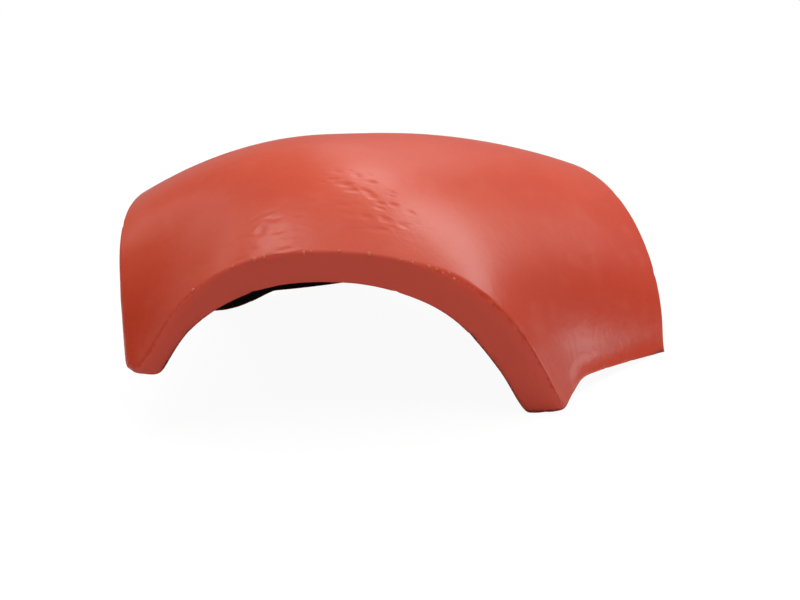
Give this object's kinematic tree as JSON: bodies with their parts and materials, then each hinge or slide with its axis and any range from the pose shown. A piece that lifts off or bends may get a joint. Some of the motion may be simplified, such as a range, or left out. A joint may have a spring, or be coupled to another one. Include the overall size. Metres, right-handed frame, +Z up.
{
  "type": "three-way ridge tile",
  "caption": "Arched roof cap in cast concrete, one thick shell whose ridge arm and two hip arms meet in a low dome, open underneath and at each arm's end.",
  "frame": {"origin": "centre of the bounding box at the level of the feet", "axes": "+Z up; +X along the ridge arm, out of its arch; +Y to the left of it; the plane Y = 0 is the mirror plane"},
  "size_m": [0.3928, 0.378, 0.1595],
  "materials": {
    "painted_concrete": "satin brick-red coating on fine-grained cast concrete"
  },
  "bodies": {
    "root": {"ridge_cap": "painted_concrete"}
  },
  "joints": []
}
